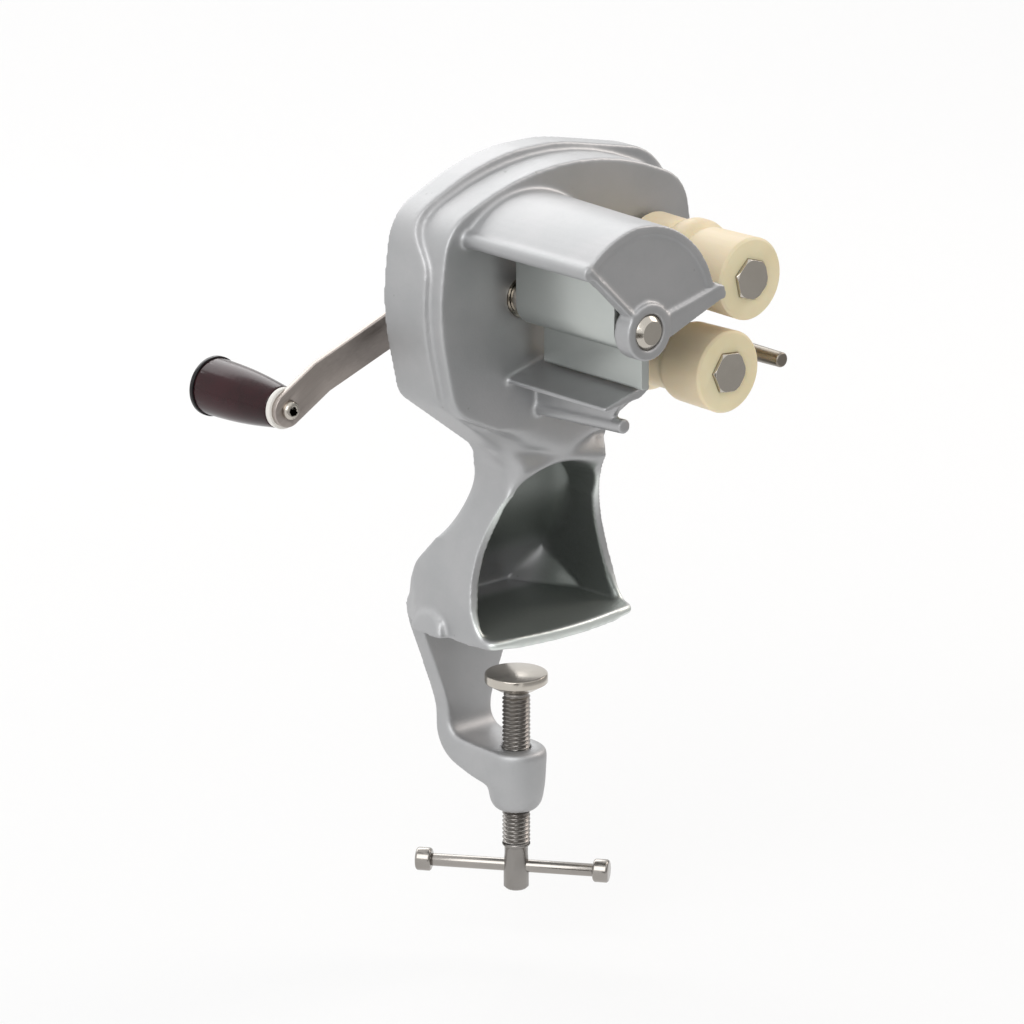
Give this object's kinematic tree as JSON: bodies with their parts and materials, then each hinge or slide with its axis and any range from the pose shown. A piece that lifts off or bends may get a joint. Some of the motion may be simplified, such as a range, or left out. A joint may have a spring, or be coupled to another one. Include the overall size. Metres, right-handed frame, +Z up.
{
  "type": "cavatelli maker",
  "caption": "Hand cranked pasta shell maker: cast gear case on a clamp-on pedestal, bladed cutter under a hood, and ringed and waisted rollers on hexagonal shafts.",
  "frame": {"origin": "where the clamp screw's axis meets the face of the foot that rests on the table", "axes": "+Z up along the clamp screw, -Y along the rollers to the front, +Y to the crank, +X to the roller side"},
  "size_m": [0.1563, 0.1525, 0.2685],
  "materials": {
    "casting": "satin silver, as cast and tumbled",
    "cutter_metal": "brushed along its length",
    "steel": "polished",
    "rod_steel": "polished, darker",
    "brushed_arm": "brushed along its length",
    "dark_steel": "blackened, satin",
    "bronze": "machined",
    "roller": "turned, satin ivory",
    "grip": "glossy dark red-brown",
    "grip_cap": "glossy black",
    "washer": "satin off-white"
  },
  "bodies": {
    "frame_body": {"body_casting": "casting", "rear_cover": "casting", "cover_screws": "dark_steel", "cutter_bush": "steel", "upper_bush": "bronze", "lower_bush": "bronze", "cover_bushes": "bronze", "guide_rod": "rod_steel", "idler_pin": "steel"},
    "idler": {"idler_gear": "bronze"},
    "crank": {"cutter_shaft": "steel", "cutter": "cutter_metal", "cutter_spacer": "steel", "cutter_pinion": "steel", "crank_arm": "brushed_arm", "crank_nut": "steel", "grip_bolt": "steel", "grip_washer": "washer"},
    "grip_body": {"grip": "grip", "grip_cap": "grip_cap"},
    "upper_drive": {"upper_shaft": "steel", "upper_gear": "bronze"},
    "upper_roll": {"upper_roller": "roller"},
    "lower_drive": {"lower_shaft": "steel", "lower_gear": "bronze"},
    "lower_roll": {"lower_roller": "roller"},
    "pad": {"swivel_pad": "steel"},
    "screw": {"clamp_screw": "dark_steel"},
    "bar": {"tommy_bar": "steel", "bar_knobs": "steel"}
  },
  "joints": [
    {"name": "crank_turn", "type": "hinge", "parent": "frame_body", "child": "crank", "pos_m": [-0.0207, 0, 0.1236], "axis": [0, 1, 0], "continuous": true},
    {"name": "grip_spin", "type": "hinge", "parent": "crank", "child": "grip_body", "pos_m": [-0.08479, 0.04, 0.0866], "axis": [0, 1, 0], "continuous": true},
    {"name": "idler_turn", "type": "hinge", "parent": "frame_body", "child": "idler", "pos_m": [0.00211, 0, 0.13984], "axis": [0, 1, 0], "continuous": true},
    {"name": "upper_turn", "type": "hinge", "parent": "frame_body", "child": "upper_drive", "pos_m": [0.0365, 0, 0.1292], "axis": [0, 1, 0], "continuous": true},
    {"name": "lower_turn", "type": "hinge", "parent": "frame_body", "child": "lower_drive", "pos_m": [0.02661, 0, 0.09877], "axis": [0, 1, 0], "continuous": true},
    {"name": "upper_pull", "type": "slide", "parent": "upper_drive", "child": "upper_roll", "axis": [0, -1, 0], "range_m": [0, 0.055]},
    {"name": "lower_pull", "type": "slide", "parent": "lower_drive", "child": "lower_roll", "axis": [0, -1, 0], "range_m": [0, 0.055]},
    {"name": "pad_travel", "type": "slide", "parent": "frame_body", "child": "pad", "axis": [0, 0, 1], "range_m": [-0.0201, 0.0171]},
    {"name": "screw_turn", "type": "hinge", "parent": "pad", "child": "screw", "pos_m": [0, 0, -0.06], "axis": [0, 0, 1], "range_deg": [-4800, 4080]},
    {"name": "bar_slide", "type": "slide", "parent": "screw", "child": "bar", "axis": [0.6018, -0.7986, 0], "range_m": [-0.0227, 0.0253]}
  ],
  "couplings": [
    {"joint": "idler_turn", "follows": "crank_turn", "ratio": -0.4},
    {"joint": "upper_turn", "follows": "crank_turn", "ratio": 0.5},
    {"joint": "lower_turn", "follows": "crank_turn", "ratio": -0.5},
    {"joint": "pad_travel", "follows": "screw_turn", "m_per_rad": 0.00023873}
  ]
}
